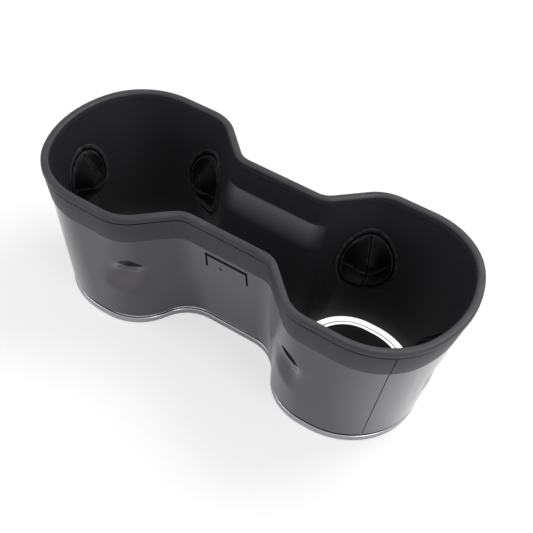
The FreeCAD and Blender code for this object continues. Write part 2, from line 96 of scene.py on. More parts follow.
right, up, back = camera_axes(CAMERA_AZIMUTH, CAMERA_ELEVATION, CAMERA_ROLL)
camera = bpy.data.objects.new("studio_camera", bpy.data.cameras.new("studio_camera"))
bpy.context.collection.objects.link(camera)
camera.matrix_world = (Matrix.Translation(CAMERA_TARGET + back * CAMERA_DISTANCE)
                       @ Matrix((right, up, back)).transposed().to_4x4())
camera.data.sensor_width = SENSOR_WIDTH
camera.data.lens = FOCAL_PIXELS / IMAGE_SIDE * SENSOR_WIDTH
camera.data.shift_x = (IMAGE_SIDE / 2 - LENS_CENTRE_X) / IMAGE_SIDE
camera.data.shift_y = (LENS_CENTRE_Y - IMAGE_SIDE / 2) / IMAGE_SIDE
camera.data.clip_start = NEAREST_SEEN
bpy.context.scene.camera = camera
print("Camera at", [round(value, 3) for value in camera.location], "lens", round(camera.data.lens, 1))

# %% [markdown]
# Every finish is procedural, so it needs a few patterns that several finishes share.
# The first is grain: the fine eroded texture of a moulding tool, small bumps felt more than seen.
# Real bumps of a fiftieth of a millimetre would need millions of faces.
# A cell pattern with noise on it, read as height by a Bump node, breaks up highlights in the same way.

# %% Grain
def new_group(name, inputs, outputs):
    """An empty node group with named value inputs and named outputs."""
    group = bpy.data.node_groups.new(name, "ShaderNodeTree")
    for label, value in inputs.items():
        socket = group.interface.new_socket(label, in_out="INPUT", socket_type="NodeSocketFloat")
        socket.default_value = value
    for label, kind in outputs.items():
        group.interface.new_socket(label, in_out="OUTPUT", socket_type=kind)
    nodes = group.nodes
    return group, nodes.new("NodeGroupInput"), nodes.new("NodeGroupOutput")


def math_node(nodes, links, operation, first, second):
    """A maths node fed by links or plain numbers."""
    node = nodes.new("ShaderNodeMath")
    node.operation = operation
    for index, value in enumerate((first, second)):
        if isinstance(value, (int, float)):
            node.inputs[index].default_value = value
        else:
            links.new(value, node.inputs[index])
    return node.outputs["Value"]


def noise(nodes, links, place, scale, detail, rough=0.5):
    """A noise pattern whose scale is a link or a plain number."""
    node = nodes.new("ShaderNodeTexNoise")
    node.inputs["Detail"].default_value = detail
    node.inputs["Roughness"].default_value = rough
    if isinstance(scale, (int, float)):
        node.inputs["Scale"].default_value = scale
    else:
        links.new(scale, node.inputs["Scale"])
    links.new(place, node.inputs["Vector"])
    return node.outputs["Fac"]


def grain_group():
    """Cells and noise as height, given out as a bumped normal."""
    group, given, result = new_group("grain", {"Scale": 2600, "Depth": 0.02 * MM, "Strength": 0.5},
                                     {"Normal": "NodeSocketVector"})
    nodes, links = group.nodes, group.links
    place = nodes.new("ShaderNodeTexCoord").outputs["Object"]
    cells = nodes.new("ShaderNodeTexVoronoi")
    cells.feature = "SMOOTH_F1"
    links.new(place, cells.inputs["Vector"])
    links.new(given.outputs["Scale"], cells.inputs["Scale"])
    fine = noise(nodes, links, place, given.outputs["Scale"], 2)
    height = math_node(nodes, links, "ADD", cells.outputs["Distance"], fine)
    bump = nodes.new("ShaderNodeBump")
    links.new(height, bump.inputs["Height"])
    links.new(given.outputs["Depth"], bump.inputs["Distance"])
    links.new(given.outputs["Strength"], bump.inputs["Strength"])
    links.new(bump.outputs["Normal"], result.inputs["Normal"])
    return group


GRAIN = grain_group()
print("Grain group has", len(GRAIN.nodes), "nodes")

# %% [markdown]
# Handling is the faint uneven sheen that fingers leave on plastic: it only changes roughness.
# A painted map could hold it, but a broad noise round zero needs no map and no seams.

# %% Handling marks
def handling_group():
    """A broad, soft noise that goes a little above and below nought."""
    group, given, result = new_group("handling", {"Scale": 38, "Amount": 0.08},
                                     {"Value": "NodeSocketFloat"})
    nodes, links = group.nodes, group.links
    place = nodes.new("ShaderNodeTexCoord").outputs["Object"]
    broad = noise(nodes, links, place, given.outputs["Scale"], 4, 0.6)
    centred = math_node(nodes, links, "SUBTRACT", broad, 0.5)
    links.new(math_node(nodes, links, "MULTIPLY", centred, given.outputs["Amount"]), result.inputs["Value"])
    return group


HANDLING = handling_group()
print("Handling group has", len(HANDLING.nodes), "nodes")

# %% [markdown]
# Dust is the pale film that settles on faces that look up, and gathers in patches.
# The mask is the upward part of the surface's normal, broken up by noise.

# %% Dust
def ranged(nodes, links, value, low, high, to_low, to_high):
    """A value moved from one range into another, and kept inside it."""
    node = nodes.new("ShaderNodeMapRange")
    for label, amount in (("From Min", low), ("From Max", high), ("To Min", to_low), ("To Max", to_high)):
        node.inputs[label].default_value = amount
    links.new(value, node.inputs["Value"])
    return node.outputs["Result"]


def dust_group():
    """A mask that is strongest on level faces, in patches."""
    group, given, result = new_group("dust", {"Amount": 0.05}, {"Mask": "NodeSocketFloat"})
    nodes, links = group.nodes, group.links
    place = nodes.new("ShaderNodeTexCoord").outputs["Object"]
    facing = nodes.new("ShaderNodeSeparateXYZ")
    links.new(nodes.new("ShaderNodeNewGeometry").outputs["Normal"], facing.inputs["Vector"])
    level = ranged(nodes, links, facing.outputs["Z"], 0.35, 1, 0, 1)
    patches = ranged(nodes, links, noise(nodes, links, place, 90, 6, 0.65), 0.42, 0.7, 0, 1)
    both = math_node(nodes, links, "MULTIPLY", level, patches)
    links.new(math_node(nodes, links, "MULTIPLY", both, given.outputs["Amount"]), result.inputs["Mask"])
    return group


DUST = dust_group()
print("Dust group has", len(DUST.nodes), "nodes")

# %% [markdown]
# Edge wear is the slight polish on raised corners, found from how sharply the surface bends.
# Pointiness gives that bend without any painting, and noise keeps the line from looking drawn.
# The same mask also lightens the grippers' colour on their edges, as a painted highlight.

# %% Edge wear and painted edge highlight
def edge_group():
    """A mask that is strongest on raised corners, with gaps in it."""
    group, given, result = new_group("edge_wear_and_highlight", {"Amount": 0.3}, {"Mask": "NodeSocketFloat"})
    nodes, links = group.nodes, group.links
    place = nodes.new("ShaderNodeTexCoord").outputs["Object"]
    bend = nodes.new("ShaderNodeNewGeometry").outputs["Pointiness"]
    sharp = ranged(nodes, links, bend, 0.505, 0.56, 0, 1)
    broken = ranged(nodes, links, noise(nodes, links, place, 260, 5, 0.6), 0.35, 0.65, 0.2, 1)
    both = math_node(nodes, links, "MULTIPLY", sharp, broken)
    links.new(math_node(nodes, links, "MULTIPLY", both, given.outputs["Amount"]), result.inputs["Mask"])
    return group


EDGE = edge_group()
print("Edge wear group has", len(EDGE.nodes), "nodes")

# %% [markdown]
# All the pieces are plastic or rubber, so one maker of finishes serves them all.
# It wires the shared patterns into one Principled shader, each piece with its own amounts.
# A material written out for each piece would say the same things six times.

# %% Finish maker
DUST_COLOUR = (0.42, 0.41, 0.39)
# The edge colour is a painted highlight, laid on sharp edges where a finish asks for it.
EDGE_HIGHLIGHT_COLOUR = (0.13, 0.13, 0.14)


def finish(name, colour, rough, grain=None, handling=0.06, dust=0.04, wear=0.0, edge=0.0, **extra):
    """A plastic or rubber: one Principled shader with the shared patterns wired into it."""
    material = bpy.data.materials.new(name)
    material.use_nodes = True
    nodes, links = material.node_tree.nodes, material.node_tree.links
    shader = nodes["Principled BSDF"]

    def use(group, **values):
        node = nodes.new("ShaderNodeGroup")
        node.node_tree = group
        for label, value in values.items():
            node.inputs[label].default_value = value
        return node

    for label, value in extra.items():
        shader.inputs[label.replace("_", " ")].default_value = value
    if grain:
        links.new(use(GRAIN, Scale=grain[0], Strength=grain[1]).outputs["Normal"], shader.inputs["Normal"])
    sheen = use(HANDLING, Amount=handling).outputs["Value"]
    base_rough = math_node(nodes, links, "ADD", sheen, rough)
    worn = use(EDGE, Amount=wear).outputs["Mask"]
    links.new(math_node(nodes, links, "SUBTRACT", base_rough, worn), shader.inputs["Roughness"])
    film = nodes.new("ShaderNodeMix")
    film.data_type = "RGBA"
    film.inputs["A"].default_value = (*colour, 1)
    film.inputs["B"].default_value = (*DUST_COLOUR, 1)
    links.new(use(DUST, Amount=dust).outputs["Mask"], film.inputs["Factor"])
    # Painted highlight: sharp edges are lightened toward the edge colour by the edge amount.
    highlit_edges = nodes.new("ShaderNodeMix")
    highlit_edges.data_type = "RGBA"
    highlit_edges.inputs["B"].default_value = (*EDGE_HIGHLIGHT_COLOUR, 1)
    links.new(film.outputs["Result"], highlit_edges.inputs["A"])
    links.new(use(EDGE, Amount=edge).outputs["Mask"], highlit_edges.inputs["Factor"])
    links.new(highlit_edges.outputs["Result"], shader.inputs["Base Color"])
    return material


# The second colour printed is the painted edge highlight.
print("Dust and worn edges are", DUST_COLOUR, EDGE_HIGHLIGHT_COLOUR)

# %% [markdown]
# The base is one moulding, silver outside and a white ring round each well's floor.
# Two materials would need a cut in its mesh, and a mask by height gives the same clean change.
# The ring's glow is painted light, about as bright as white paper, so it shows in the dark well.

# %% Painted glow on the base
BORDER_START, BORDER_FULL, PAINTED_GLOW = 4.1 * MM, 4.4 * MM, 1.0
WHITE = (1, 1, 1, 1)


def object_place(nodes, links):
    """Where a point lies on the piece, as separate X, Y and Z values."""
    place = nodes.new("ShaderNodeSeparateXYZ")
    links.new(nodes.new("ShaderNodeTexCoord").outputs["Object"], place.inputs["Vector"])
    return place.outputs


def paint_border_glow(material):
    """Make the top of the base glow white with painted light, and keep its edge silver."""
    nodes, links = material.node_tree.nodes, material.node_tree.links
    shader = nodes["Principled BSDF"]
    upper = ranged(nodes, links, object_place(nodes, links)["Z"], BORDER_START, BORDER_FULL, 0, 1)
    links.new(math_node(nodes, links, "SUBTRACT", 1, upper), shader.inputs["Metallic"])
    # Painted light: the top of the base glows by emission, though no lamp is in it.
    links.new(math_node(nodes, links, "MULTIPLY", upper, PAINTED_GLOW), shader.inputs["Emission Strength"])
    shader.inputs["Emission Color"].default_value = WHITE
    return material


print("Light guide starts", round(BORDER_START / MM, 1), "mm above the underside")

# %% [markdown]
# The picture shows a soft pale patch high on the waist walls, with a clean upper edge.
# A lamp could throw it there, but then it would move with the lamp and spill on the grippers.
# So the patch of light is painted into the liner's colour, lighter there, and fades out down and sideways.

# %% Painted waist sheen
# The colour of the painted sheen.
PAINTED_WAIST_SHEEN = (0.115, 0.11, 0.125)
SHEEN_LOW, SHEEN_FULL, SHEEN_TOP, SHEEN_OVER = 51 * MM, 64.5 * MM, 64.8 * MM, 65.8 * MM
SHEEN_HALF, SHEEN_SIDE = 21 * MM, 28 * MM


def paint_waist_sheen(material):
    """Lighten the liner high on the waist walls, as a painted sheen."""
    nodes, links = material.node_tree.nodes, material.node_tree.links
    shader = nodes["Principled BSDF"]
    place = object_place(nodes, links)
    rising = ranged(nodes, links, place["Z"], SHEEN_LOW, SHEEN_FULL, 0, 1)
    under = ranged(nodes, links, place["Z"], SHEEN_TOP, SHEEN_OVER, 1, 0)
    sideways = math_node(nodes, links, "ABSOLUTE", place["X"], 0)
    middle = ranged(nodes, links, sideways, SHEEN_HALF, SHEEN_SIDE, 1, 0)
    patch = math_node(nodes, links, "MULTIPLY", math_node(nodes, links, "MULTIPLY", rising, under), middle)
    # Painted sheen: inside the patch the liner's colour is mixed toward a lighter one.
    painted_sheen = nodes.new("ShaderNodeMix")
    painted_sheen.data_type = "RGBA"
    painted_sheen.inputs["B"].default_value = (*PAINTED_WAIST_SHEEN, 1)
    links.new(shader.inputs["Base Color"].links[0].from_socket, painted_sheen.inputs["A"])
    links.new(patch, painted_sheen.inputs["Factor"])
    links.new(painted_sheen.outputs["Result"], shader.inputs["Base Color"])
    return material


print("Waist sheen runs from", round(SHEEN_LOW / MM, 1), "to", round(SHEEN_OVER / MM, 1), "mm high")

# %% [markdown]
# The grippers' lighter edges are a painted highlight.
# Six finishes, one for each material slot of the record.
# The rim band is matte and faintly purple, so its highlights are wide and weak.
# The shell under it has nearly the same colour from a polished tool, so it mirrors the pale floor.
# The liner is a dull face that swallows the light of the wells.
# The grippers and the mats are soft rubber, the first darkest of all and the second dry and grainy.
# The base is a satin silver that shows as a thin bright line round the foot.

# %% Finishes
MATERIALS = {
    "satin_black_trim": finish("satin_black_trim", (0.022, 0.0205, 0.026), 0.5, (2400, 0.35), wear=0.1,
                               Specular_IOR_Level=0.33),
    "gloss_black_shell": finish("gloss_black_shell", (0.022, 0.0195, 0.027), 0.2, None, 0.05, 0.015,
                                Coat_Weight=0.6, Coat_Roughness=0.1, Specular_Tint=(0.96, 0.93, 1, 1)),
    # The liner carries the painted waist sheen.
    "matte_black_liner": paint_waist_sheen(finish("matte_black_liner", (0.006, 0.006, 0.0078), 0.62, (2000, 0.4),
                                            dust=0.02, Specular_IOR_Level=0.3)),
    # The base's white border glows with painted light.
    "bright_base": paint_border_glow(finish("bright_base", (0.4, 0.39, 0.42), 0.26, None, 0.05, 0.01,
                                     Metallic=1.0)),
    "mat_rubber": finish("mat_rubber", (0.012, 0.012, 0.014), 0.7, (1500, 0.6), dust=0.04),
    # Its edge amount paints a highlight along the grippers' edges.
    "gripper_rubber": finish("gripper_rubber", (0.0022, 0.0022, 0.0026), 0.5, (3000, 0.12), dust=0.0,
                             edge=0.5, Specular_IOR_Level=0.05),
}
SLOT_OF = {entry["node"]: entry["material_slot"] for entry in frame["record"]["subparts"]}
for node, thing in frame["nodes"].items():
    thing.data.materials.clear()
    thing.data.materials.append(MATERIALS[SLOT_OF[node]])
print("Finishes:", sorted(MATERIALS))

# %% [markdown]
# The tub is a dogbone: two rounded wells joined by a narrow waist.
# A mould maker draws one quarter of it, from the middle of an end to the middle of the waist.
# The quarter is an end arc, a shoulder arc, a straight side, a flare, a slope and a hollow.
# A smooth curve through a few points would be shorter, but its bends would be nobody's radii.
# Here one corner is carried along that path by spins, so every level has the same steps.

# %% Outline of the tub
RIM = {"length": 215, "width": 93.4, "waist": 50.7, "end": 59.8, "shoulder": 37.2,
       "flare": 21, "hollow": 9, "angle": 45.5, "flat": 37.1}
FOOT = {"length": 192.4, "width": 75.2, "waist": 18, "end": 44, "shoulder": 36,
        "flare": 27, "hollow": 19, "angle": 62, "flat": 26}
STEPS = {"end": 24, "shoulder": 44, "side": 4, "flare": 20, "slope": 8, "hollow": 18, "neck": 14}


def measures(shape, inset):
    """Radii and arc centres of the outline, drawn inward of its line by an inset."""
    reach, side, waist = (shape[key] / 2 - inset for key in ("length", "width", "waist"))
    end, shoulder, flare = (shape[key] - inset for key in ("end", "shoulder", "flare"))
    hollow, turn, flat = shape["hollow"] + inset, math.radians(shape["angle"]), shape["flat"] / 2
    end_x = reach - end
    shoulder_x = end_x + math.sqrt((end - shoulder) ** 2 - (side - shoulder) ** 2)
    flare_x = flat + (hollow + flare) * math.tan(turn / 2) + (side - waist) / math.tan(turn)
    return {"reach": reach, "side": side, "waist": waist, "flare": flare, "hollow": hollow,
            "turn": turn, "flat": flat, "end_x": end_x, "shoulder_x": shoulder_x,
            "shoulder_y": side - shoulder, "flare_x": flare_x, "flare_y": side - flare,
            "end_turn": math.atan2(side - shoulder, shoulder_x - end_x)}


def swept(bm, corner, steps, centre=(0, 0), angle=0.0, shift=(0, 0)):
    """Carry the end of a line round a centre, or straight along a shift, and give the new end."""
    made = bmesh.ops.spin(bm, geom=[corner], cent=(*centre, corner.co.z), axis=(0, 0, 1), angle=angle,
                          dvec=(shift[0] / steps, shift[1] / steps, 0), steps=steps)
    return next(part for part in made["geom_last"] if isinstance(part, bmesh.types.BMVert))


def quarter_line(bm, shape, inset, level):
    """The quarter outline at one level. Gives its edges."""
    known = set(bm.edges)
    m = measures(shape, inset)
    corner = bm.verts.new((m["reach"], 0, level))
    corner = swept(bm, corner, STEPS["end"], (m["end_x"], 0), m["end_turn"])
    corner = swept(bm, corner, STEPS["shoulder"], (m["shoulder_x"], m["shoulder_y"]),
                   math.pi / 2 - m["end_turn"])
    corner = swept(bm, corner, STEPS["side"], shift=(m["flare_x"] - corner.co.x, 0))
    corner = swept(bm, corner, STEPS["flare"], (m["flare_x"], m["flare_y"]), m["turn"])
    slope_end = Vector((m["flat"] + m["hollow"] * math.sin(m["turn"]),
                        m["waist"] + m["hollow"] * (1 - math.cos(m["turn"]))))
    corner = swept(bm, corner, STEPS["slope"], shift=slope_end - corner.co.xy)
    corner = swept(bm, corner, STEPS["hollow"], (m["flat"], m["waist"] + m["hollow"]), -m["turn"])
    corner = swept(bm, corner, STEPS["neck"], shift=(-corner.co.x, 0))
    corner.co.x = 0
    return [edge for edge in bm.edges if edge not in known]


print("Quarter outline has", sum(STEPS.values()) + 1, "corners at each level")

# %% [markdown]
# The walls of the tub lean out, so its outline differs at the lip, at the band's foot and at the base.
# A lofted surface could join them, but bridged loops keep rows that a cut or a scoop can use.
# Each wall is a closed run of outlines, bridged in turn, and the quarter is mirrored twice.
# The whole object shares the heights that are named here, in millimetres.

# %% Walls between outlines
TOP, LIP_LOW, BREAK, TRAY_TOP = 80, 76.6, 62.7, 4.5
LIP_STEP, BAND_LEAN = 0.4, 3.4
SHELL_WALL, LINER_OUT, LINER_IN = 1.5, 1.65, 3.15
WELD = 0.001


def tub_wall(levels, rows=None):
    """A wall skinned through a closed run of outlines, then mirrored to the whole tub."""
    bm = bmesh.new()
    lines = [quarter_line(bm, *level) for level in levels]
    for index, low in enumerate(lines):
        rungs = bmesh.ops.bridge_loops(bm, edges=low + lines[(index + 1) % len(lines)])["edges"]
        if rows and rows.get(index):
            bmesh.ops.subdivide_edges(bm, edges=rungs, cuts=rows[index] - 1, use_grid_fill=True)
    for axis in ("Y", "X"):
        bmesh.ops.mirror(bm, geom=bm.verts[:] + bm.edges[:] + bm.faces[:], axis=axis, merge_dist=WELD)
    bmesh.ops.remove_doubles(bm, verts=bm.verts, dist=WELD)
    bmesh.ops.recalc_face_normals(bm, faces=bm.faces)
    return bm


def corner_arc(shape, inset, level, radius, first, last, steps=6):
    """Levels round a moulded corner: the angle is 0 towards the well and 90 upward."""
    turns = [math.radians(first + (last - first) * step / steps) for step in range(steps + 1)]
    return [(shape, inset + radius * math.cos(turn), level + radius * math.sin(turn)) for turn in turns]


print("The band runs from", BREAK, "to", LIP_LOW, "mm, and the lip ends at", TOP)

# %% [markdown]
# Slits, windows, grooves and pockets are drawn as cuts into a finished wall or slab.
# A live Boolean modifier would stay editable, but its tool would have to stay in the scene.
# So each cut is made for good and the tool is removed.
# At the end a piece goes from millimetres to metres and takes its finish.
# It then stands for its CAD node.

# %% Helpers for pieces
def loose_object(name, bm):
    """An object in the scene that takes over a bmesh."""
    data = bpy.data.meshes.new(name)
    bm.to_mesh(data)
    bm.free()
    thing = bpy.data.objects.new(name, data)
    bpy.context.collection.objects.link(thing)
    return thing


def carve(piece, tool_bm, operation="DIFFERENCE"):
    """Cut a tool's solid out of a piece for good, or join it on."""
    tool = loose_object("tool", tool_bm)
    modifier = piece.modifiers.new("cut", "BOOLEAN")
    modifier.operation = operation
    modifier.solver = "EXACT"
    modifier.object = tool
    bpy.context.view_layer.update()
    finished = bpy.data.meshes.new_from_object(
        piece.evaluated_get(bpy.context.evaluated_depsgraph_get()))
    piece.modifiers.clear()
    old = piece.data
    piece.data = finished
    bpy.data.meshes.remove(old)
    bpy.data.objects.remove(tool)


def settle(piece, slot, *nodes, crease=32):
    """Bring a piece from millimetres to metres, finish it, and let it stand for its CAD nodes."""
    piece.data.transform(Matrix.Scale(MM, 4))
    piece.data.shade_smooth()
    piece.data.set_sharp_from_angle(angle=math.radians(crease))
    piece.data.materials.clear()
    piece.data.materials.append(MATERIALS[slot])
    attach(piece, "root")
    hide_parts(*nodes)
    size = [round(value / MM, 1) for value in piece.dimensions]
    print(piece.name, len(piece.data.polygons), "faces, size in mm", size)


print("Corners closer than", WELD, "mm are welded")

# %% [markdown]
# Each gripper sits in a frame of its own on the liner's inner face.
# The frame's height axis points into the well, and its second axis runs up the wall.
# The side grippers stand on the flares beside the waist, and the end ones on the end arcs.
# With the frames worked out once, a gripper, its window and its vent are drawn flat and then seated.

# %% Gripper frames
GRIP_HEIGHT, SIDE_TURN = 41.0, math.radians(28)
SHARE = (BREAK - GRIP_HEIGHT) / (BREAK - TRAY_TOP)
HEAD_M, FOOT_M = measures(RIM, BAND_LEAN), measures(FOOT, 0)


def blend(key):
    """A measure of the shell's outline at the height of the grippers."""
    return HEAD_M[key] * (1 - SHARE) + FOOT_M[key] * SHARE


def seat_frame(kind, x_sign, y_sign):
    """The gripper's frame in millimetres: its third column points into the well."""
    if kind == "end":
        out = Vector((1, 0, 0))
        place = Vector((blend("reach") - LINER_IN, 0, GRIP_HEIGHT))
        fall = HEAD_M["reach"] - FOOT_M["reach"]
    else:
        out = Vector((-math.sin(SIDE_TURN), math.cos(SIDE_TURN), 0))
        centre = Vector((blend("flare_x"), blend("flare_y"), GRIP_HEIGHT))
        place = centre + out * (blend("flare") - LINER_IN)
        reaches = [Vector((m["flare_x"], m["flare_y"], 0)).dot(out) + m["flare"] for m in (HEAD_M, FOOT_M)]
        fall = reaches[0] - reaches[1]
    sign = Matrix.Diagonal((x_sign, y_sign, 1))
    out, place = sign @ out, sign @ place
    lean = math.atan(fall / (BREAK - TRAY_TOP))
    inward = -out * math.cos(lean) + Vector((0, 0, math.sin(lean)))
    climb = out * math.sin(lean) + Vector((0, 0, math.cos(lean)))
    turned = Matrix((climb.cross(inward), climb, inward)).transposed()
    return Matrix.Translation(place) @ turned.to_4x4()


SEATS = {"right_end": seat_frame("end", 1, 1), "left_end": seat_frame("end", -1, 1)}
for x_word, x_sign in (("right", 1), ("left", -1)):
    for y_word, y_sign in (("far", 1), ("near", -1)):
        SEATS[x_word + "_" + y_word] = seat_frame("side", x_sign, y_sign)
print("Gripper seats:", {name: [round(v, 1) for v in seat.translation] for name, seat in SEATS.items()})

# %% [markdown]
# The rim band is one soft matte moulding that hooks over the shell.
# It has a rounded lip, a fine groove under the lip, and a face that leans in as it goes down.
# Behind its lower edge a rebate takes the shell's hook, so only a thin line shows there.
# Its whole section is drawn as levels, because bevels on a finished wall would miss the tight groove.

# %% Rim band
LIP_WIDTH, LIP_ROUND, LIP_INNER_ROUND, LIP_UNDER_ROUND, LIP_RAISE = 3.8, 1.1, 1.3, 0.35, 0.4
GROOVE_DEEP, GROOVE_HIGH = 1.4, 1.0
FACE_HEAD, FACE_FOOT, HEAD_ROUND, FOOT_ROUND = 0.5, 3.0, 0.25, 0.3
REBATE_FOOT, REBATE_HEAD, REBATE_BACK, REBATE_HIGH, BAND_BACK = 4.05, 3.5, 4.3, 3.15, 1.9
underside = LIP_LOW + LIP_RAISE
face_top = underside - GROOVE_HIGH
rim_section = [(RIM, LIP_WIDTH, LIP_LOW)]
rim_section += corner_arc(RIM, LIP_WIDTH - LIP_INNER_ROUND, TOP - LIP_INNER_ROUND, LIP_INNER_ROUND, 0, 90)
rim_section += corner_arc(RIM, LIP_ROUND, TOP - LIP_ROUND, LIP_ROUND, 90, 180, 8)
rim_section += corner_arc(RIM, LIP_UNDER_ROUND, underside + LIP_UNDER_ROUND, LIP_UNDER_ROUND, 180, 270, 4)
rim_section += [(RIM, GROOVE_DEEP, underside), (RIM, GROOVE_DEEP, face_top)]
rim_section += corner_arc(RIM, FACE_HEAD + HEAD_ROUND, face_top - HEAD_ROUND, HEAD_ROUND, 90, 180, 3)
rim_section += corner_arc(RIM, FACE_FOOT + FOOT_ROUND, BREAK + FOOT_ROUND, FOOT_ROUND, 180, 270, 3)
rim_section += [(RIM, REBATE_FOOT, BREAK), (RIM, REBATE_HEAD, BREAK + REBATE_HIGH),
                (RIM, REBATE_BACK, BREAK + REBATE_HIGH), (RIM, BAND_BACK, LIP_LOW)]
rim_band = loose_object("rim_band_skin", tub_wall(rim_section))
print("Rim band has", len(rim_section), "levels round its section")

# %% [markdown]
# The shell is a thin drafted wall, polished outside, that stands on a small toe over the foot.
# Under each vent the wall is scooped inward, and the scoop breaks up the wall's reflections.
# A sunken ball would leave a hard ring, so rows of the wall are eased inward by a smooth formula.
# The inner face follows the scoop, and stands in behind the vent too, which leaves wall to cut in.

# %% Outer shell and its scoops
FOOT_GAP, FOOT_GAP_DEEP, FOOT_GROWTH = 1.5, 1.1, 0.3
TOE_INSET, TOE_LOW, TOE_TOP, TOE_ROOT = 0.25, 4.02, 4.35, 0.92
HOOK_FOOT, HOOK_HEAD, HOOK_BACK, HOOK_HIGH = 4.2, 3.6, 4.4, 3
OUTER_ROWS, INNER_ROWS = 56, 28
SCOOP_DEPTH, SCOOP_BOTTOM, SCOOP_BELOW, SCOOP_ABOVE, SCOOP_WIDE = 3.2, 8.5, 13.0, 9.5, 11.5
SCOOP_WALL, VENT_PAD, PAD_REACH, PAD_RISE = 0.8, 1.1, 8.0, 1.3
VENT_RISE, VENT_SHIFT, VENT_TILT = 5.0, 2.4, math.radians(14)
VENT_PLACE = Matrix.Translation((-VENT_SHIFT, VENT_RISE, 0)) @ Matrix.Rotation(VENT_TILT, 4, "Z")
shell_section = [(FOOT, -FOOT_GROWTH, TRAY_TOP + FOOT_GAP), (RIM, BAND_LEAN, BREAK), (RIM, HOOK_FOOT, BREAK),
                 (RIM, HOOK_HEAD, BREAK + HOOK_HIGH), (RIM, HOOK_BACK, BREAK + HOOK_HIGH),
                 (RIM, BAND_LEAN + SHELL_WALL, BREAK), (FOOT, SHELL_WALL, TRAY_TOP),
                 (FOOT, TOE_ROOT, TRAY_TOP), (FOOT, TOE_ROOT, TOE_LOW), (FOOT, TOE_INSET, TOE_LOW),
                 (FOOT, TOE_INSET, TOE_TOP), (FOOT, FOOT_GAP_DEEP, TOE_TOP),
                 (FOOT, FOOT_GAP_DEEP, TRAY_TOP + FOOT_GAP)]
shell_bm = tub_wall(shell_section, {0: OUTER_ROWS, 5: INNER_ROWS})
shell_bm.normal_update()


def scoop(place):
    """How deep the scoop is at a place measured from the vent: steep above its bottom, gentle below."""
    above = place.y + SCOOP_BOTTOM
    away = min(1, abs(above) / (SCOOP_ABOVE if above > 0 else SCOOP_BELOW))
    across = min(1, abs(place.x) / SCOOP_WIDE)
    near = abs(place.z) < SCOOP_BELOW
    return near * SCOOP_DEPTH * (1 - across ** 2) ** 2 * (1 - away ** 2) ** 2


def pad(place):
    """How far the inner face stands in behind the vent, so that the vent is a blind pocket."""
    out = (place.x ** 2 + (place.y - PAD_RISE) ** 2) / PAD_REACH ** 2
    near = abs(place.z) < SCOOP_BELOW
    return near * VENT_PAD * min(1, max(0, 2 - 2 * out))


for seat in SEATS.values():
    to_vent, inward = (seat @ VENT_PLACE).inverted(), seat.col[2].xyz
    for vert in shell_bm.verts:
        place = to_vent @ vert.co
        deep = scoop(place)
        if vert.normal.dot(inward) > 0:
            deep = max(deep + SCOOP_WALL - SHELL_WALL, pad(place))
        vert.co += inward * deep
print("Scooped shell has", len(shell_bm.verts), "corners")
outer_shell = loose_object("outer_shell_skin", shell_bm)

# %% [markdown]
# Behind each gripper the shell has a slim vent, like a lens laid a little aslant.
# It is a blind pocket, because light would come in through the gripper's slits if it went through.
# The outline is two spins on one chord, and the same tool is seated at all six grippers.

# %% Vents
VENT_LENGTH, VENT_TOP, VENT_LOW, VENT_DEEP, VENT_STEPS = 12.5, 3.6, 1.0, 2.1, 20
VENT_REACH = 9


def bars(outline_maker, low, high):
    """The same outline pushed through the wall at every seat, as one tool."""
    bm = bmesh.new()
    for seat in SEATS.values():
        bar = bmesh.new()
        outline_maker(bar)
        bmesh.ops.translate(bar, vec=(0, 0, low), verts=bar.verts)
        raised = bmesh.ops.extrude_face_region(bar, geom=bar.faces[:])["geom"]
        bmesh.ops.translate(bar, vec=(0, 0, high - low), verts=[p for p in raised if hasattr(p, "co")])
        bmesh.ops.recalc_face_normals(bar, faces=bar.faces)
        bmesh.ops.transform(bar, matrix=seat, verts=bar.verts)
        part = bpy.data.meshes.new("bar")
        bar.to_mesh(part)
        bar.free()
        bm.from_mesh(part)
        bpy.data.meshes.remove(part)
    return bm


def vent_outline(bm):
    """Two arcs on one chord, the upper one rounder."""
    tip = bm.verts.new((VENT_LENGTH / 2, 0, 0))
    for bulge, side in ((VENT_TOP, 1), (VENT_LOW, -1)):
        radius = (VENT_LENGTH ** 2 / 4 + bulge ** 2) / (2 * bulge)
        turn = 2 * math.asin(VENT_LENGTH / 2 / radius)
        tip = swept(bm, tip, VENT_STEPS, (0, side * (bulge - radius)), turn)
    bmesh.ops.remove_doubles(bm, verts=bm.verts, dist=WELD)
    bmesh.ops.contextual_create(bm, geom=bm.edges[:])
    bmesh.ops.transform(bm, matrix=VENT_PLACE, verts=bm.verts)


carve(outer_shell, bars(vent_outline, -VENT_REACH, VENT_DEEP - LINER_IN))
print("Shell with vents has", len(outer_shell.data.polygons), "faces")

# %% [markdown]
# On each waist panel a slit of three sides frees a snap tongue, which can clip into a console.
# A small pit inside it is taken for the mark of the mould's gate.
# The slits are straight, so plain boxes right through the tub cut both panels at once.

# %% Snap tongues and gate marks
TONGUE_HALF, TONGUE_TOP, TONGUE_LENGTH, SLIT, LEG_SLIT, ACROSS = 11.5, BREAK - 2.6, 10.5, 2.2, 1.1, 40
MARK_START, MARK_END, MARK_LOW, MARK_TOP, MARK_NEAR, MARK_FAR = 2.4, 4.4, 51.6, 52.6, 18.7, 22


def boxes(*corners):
    """Plain boxes from pairs of opposite corners."""
    bm = bmesh.new()
    for low, high in corners:
        low, high = Vector(low), Vector(high)
        matrix = Matrix.Translation((low + high) / 2) @ Matrix.Diagonal((*(high - low), 1))
        bmesh.ops.create_cube(bm, size=1, matrix=matrix)
    return bm


